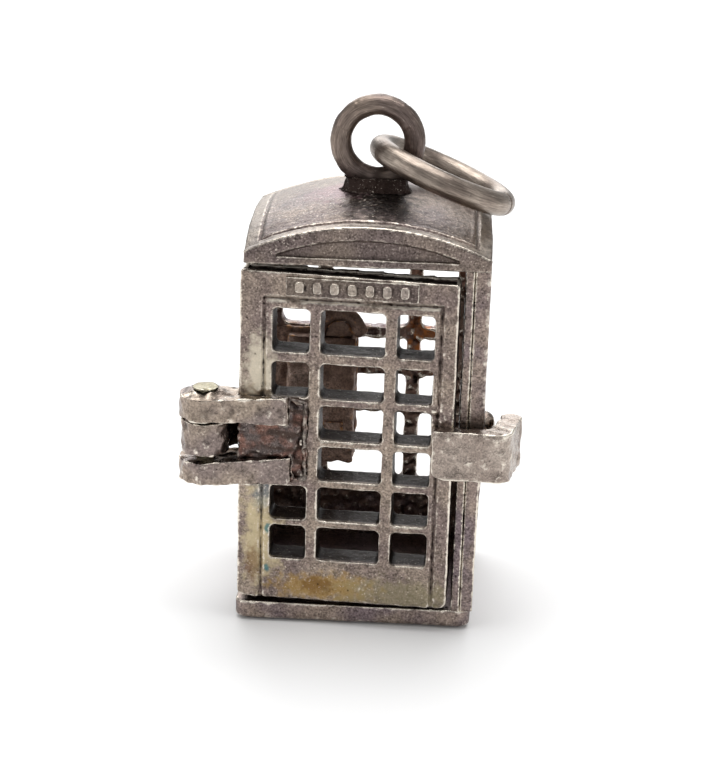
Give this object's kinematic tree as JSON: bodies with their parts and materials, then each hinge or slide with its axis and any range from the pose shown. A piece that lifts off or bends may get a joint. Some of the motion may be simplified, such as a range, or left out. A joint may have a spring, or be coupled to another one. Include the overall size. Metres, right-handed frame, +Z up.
{
  "type": "telephone booth charm",
  "caption": "Opening telephone-booth charm: glazed box with arched roof, hinged door with hook latch, small telephone inside, hanging loop and jump ring.",
  "frame": {"origin": "centre of the sole's underside", "axes": "+Z up, -Y out of the door side, +X towards the latch"},
  "size_m": [0.0135, 0.0093, 0.0209],
  "materials": {
    "cast_silver": "cast silver, oxidised grey-brown, worn bright on the edges",
    "tarnished_inner": "cast silver, heavily tarnished brown and orange",
    "worn_fittings": "worn oxidised silver",
    "silver_solder": "fire-stained solder, pitted",
    "ring_wire": "drawn silver wire, lightly tarnished"
  },
  "bodies": {
    "booth": {"sole_plate": "cast_silver", "plinth": "cast_silver", "back_wall": "tarnished_inner", "left_wall": "cast_silver", "right_wall": "cast_silver", "right_jamb": "cast_silver", "roof": "cast_silver", "bail": "worn_fittings", "bail_solder": "silver_solder", "hinge_knuckle": "worn_fittings", "latch_bead": "worn_fittings", "phone_backplate": "tarnished_inner", "phone_body": "tarnished_inner", "phone_cradle": "tarnished_inner", "phone_handset": "tarnished_inner", "phone_coin_tray": "tarnished_inner"},
    "door": {"door_leaf": "cast_silver", "sign_plate": "cast_silver", "hinge_arm_upper": "worn_fittings", "hinge_arm_lower": "worn_fittings", "hinge_pin": "worn_fittings", "hinge_solder": "silver_solder", "latch_strap": "worn_fittings"},
    "jump_ring": {"jump_ring": "ring_wire"}
  },
  "joints": [
    {"name": "door_hinge", "type": "hinge", "parent": "booth", "child": "door", "pos_m": [-0.00607, -0.00375, 0.00787], "axis": [0, 0, -1], "range_deg": [-2.7, 175]},
    {"name": "jump_ring_swing", "type": "hinge", "parent": "booth", "child": "jump_ring", "pos_m": [0.00022, 0, 0.01903], "axis": [0, -1, 0], "range_deg": [0, 228]}
  ]
}
